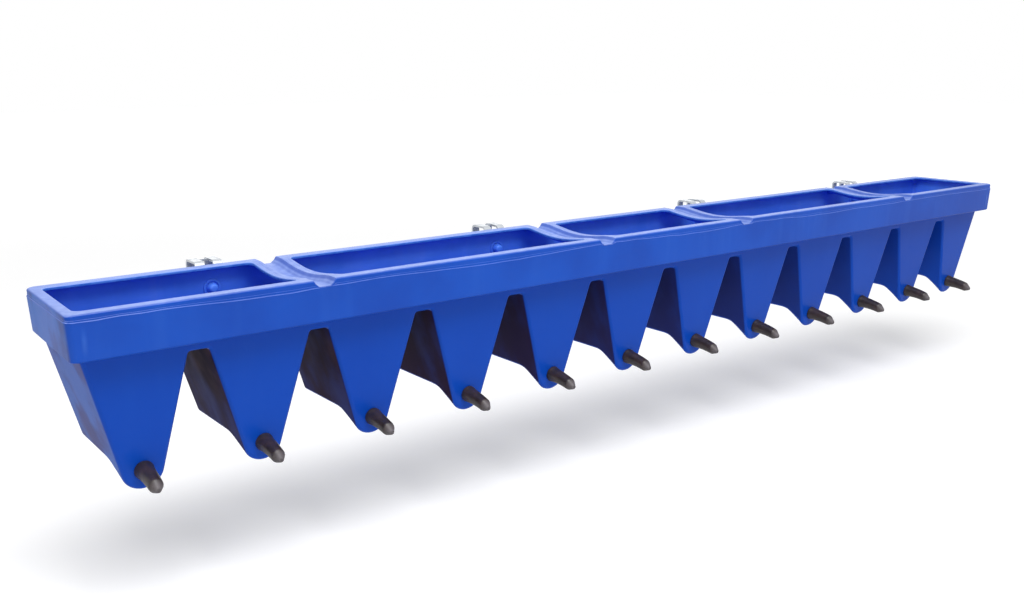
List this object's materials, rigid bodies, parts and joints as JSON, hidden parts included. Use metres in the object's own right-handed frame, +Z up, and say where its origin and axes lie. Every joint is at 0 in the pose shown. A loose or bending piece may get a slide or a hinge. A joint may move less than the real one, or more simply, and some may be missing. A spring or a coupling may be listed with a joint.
{
  "type": "multi-teat milk feeder",
  "caption": "Long blue compartment milk feeder for calves: open trough over tapered pockets, each with a rubber teat and a ball valve, on hooks for a gate rail.",
  "frame": {"origin": "middle of the gate rail line: half way along the trough, midway across the hook throats, level with the undersides of the hooks", "axes": "+X along the trough, the teats point towards -Y, the gate is on the +Y side, +Z up"},
  "size_m": [2.985, 0.3797, 0.376],
  "materials": {
    "blue_plastic": "satin rotomoulded polyethylene",
    "rubber": "matt dark rubber",
    "white_plastic": "matt nylon",
    "ball_plastic": "smooth acetal",
    "galvanised_steel": "hot-dip galvanised",
    "bright_zinc": "bright zinc plated",
    "brass": "turned"
  },
  "bodies": {
    "feeder": {"trough_shell": "blue_plastic", "teat_01": "rubber", "teat_02": "rubber", "teat_03": "rubber", "teat_04": "rubber", "teat_05": "rubber", "teat_06": "rubber", "teat_07": "rubber", "teat_08": "rubber", "teat_09": "rubber", "teat_10": "rubber", "teat_11": "rubber", "teat_12": "rubber", "valve_body_01": "white_plastic", "valve_body_02": "white_plastic", "valve_body_03": "white_plastic", "valve_body_04": "white_plastic", "valve_body_05": "white_plastic", "valve_body_06": "white_plastic", "valve_body_07": "white_plastic", "valve_body_08": "white_plastic", "valve_body_09": "white_plastic", "valve_body_10": "white_plastic", "valve_body_11": "white_plastic", "valve_body_12": "white_plastic", "hanger_hook_1": "galvanised_steel", "hanger_hook_2": "galvanised_steel", "hanger_hook_3": "galvanised_steel", "hanger_hook_4": "galvanised_steel", "hanger_washer_1": "bright_zinc", "hanger_washer_2": "bright_zinc", "hanger_washer_3": "bright_zinc", "hanger_washer_4": "bright_zinc", "hanger_bolt_1": "bright_zinc", "hanger_bolt_2": "bright_zinc", "hanger_bolt_3": "bright_zinc", "hanger_bolt_4": "bright_zinc", "thread_insert_1": "brass", "thread_insert_2": "brass", "thread_insert_3": "brass", "thread_insert_4": "brass"},
    "ball_01": {"valve_ball_01": "ball_plastic"},
    "ball_02": {"valve_ball_02": "ball_plastic"},
    "ball_03": {"valve_ball_03": "ball_plastic"},
    "ball_04": {"valve_ball_04": "ball_plastic"},
    "ball_05": {"valve_ball_05": "ball_plastic"},
    "ball_06": {"valve_ball_06": "ball_plastic"},
    "ball_07": {"valve_ball_07": "ball_plastic"},
    "ball_08": {"valve_ball_08": "ball_plastic"},
    "ball_09": {"valve_ball_09": "ball_plastic"},
    "ball_10": {"valve_ball_10": "ball_plastic"},
    "ball_11": {"valve_ball_11": "ball_plastic"},
    "ball_12": {"valve_ball_12": "ball_plastic"}
  },
  "joints": [
    {"name": "valve_ball_slide_01", "type": "slide", "parent": "feeder", "child": "ball_01", "axis": [0, 0.9952, 0.0976], "range_m": [0, 0.0052]},
    {"name": "valve_ball_slide_02", "type": "slide", "parent": "feeder", "child": "ball_02", "axis": [0, 0.9952, 0.0976], "range_m": [0, 0.0052]},
    {"name": "valve_ball_slide_03", "type": "slide", "parent": "feeder", "child": "ball_03", "axis": [0, 0.9952, 0.0976], "range_m": [0, 0.0052]},
    {"name": "valve_ball_slide_04", "type": "slide", "parent": "feeder", "child": "ball_04", "axis": [0, 0.9952, 0.0976], "range_m": [0, 0.0052]},
    {"name": "valve_ball_slide_05", "type": "slide", "parent": "feeder", "child": "ball_05", "axis": [0, 0.9952, 0.0976], "range_m": [0, 0.0052]},
    {"name": "valve_ball_slide_06", "type": "slide", "parent": "feeder", "child": "ball_06", "axis": [0, 0.9952, 0.0976], "range_m": [0, 0.0052]},
    {"name": "valve_ball_slide_07", "type": "slide", "parent": "feeder", "child": "ball_07", "axis": [0, 0.9952, 0.0976], "range_m": [0, 0.0052]},
    {"name": "valve_ball_slide_08", "type": "slide", "parent": "feeder", "child": "ball_08", "axis": [0, 0.9952, 0.0976], "range_m": [0, 0.0052]},
    {"name": "valve_ball_slide_09", "type": "slide", "parent": "feeder", "child": "ball_09", "axis": [0, 0.9952, 0.0976], "range_m": [0, 0.0052]},
    {"name": "valve_ball_slide_10", "type": "slide", "parent": "feeder", "child": "ball_10", "axis": [0, 0.9952, 0.0976], "range_m": [0, 0.0052]},
    {"name": "valve_ball_slide_11", "type": "slide", "parent": "feeder", "child": "ball_11", "axis": [0, 0.9952, 0.0976], "range_m": [0, 0.0052]},
    {"name": "valve_ball_slide_12", "type": "slide", "parent": "feeder", "child": "ball_12", "axis": [0, 0.9952, 0.0976], "range_m": [0, 0.0052]}
  ]
}
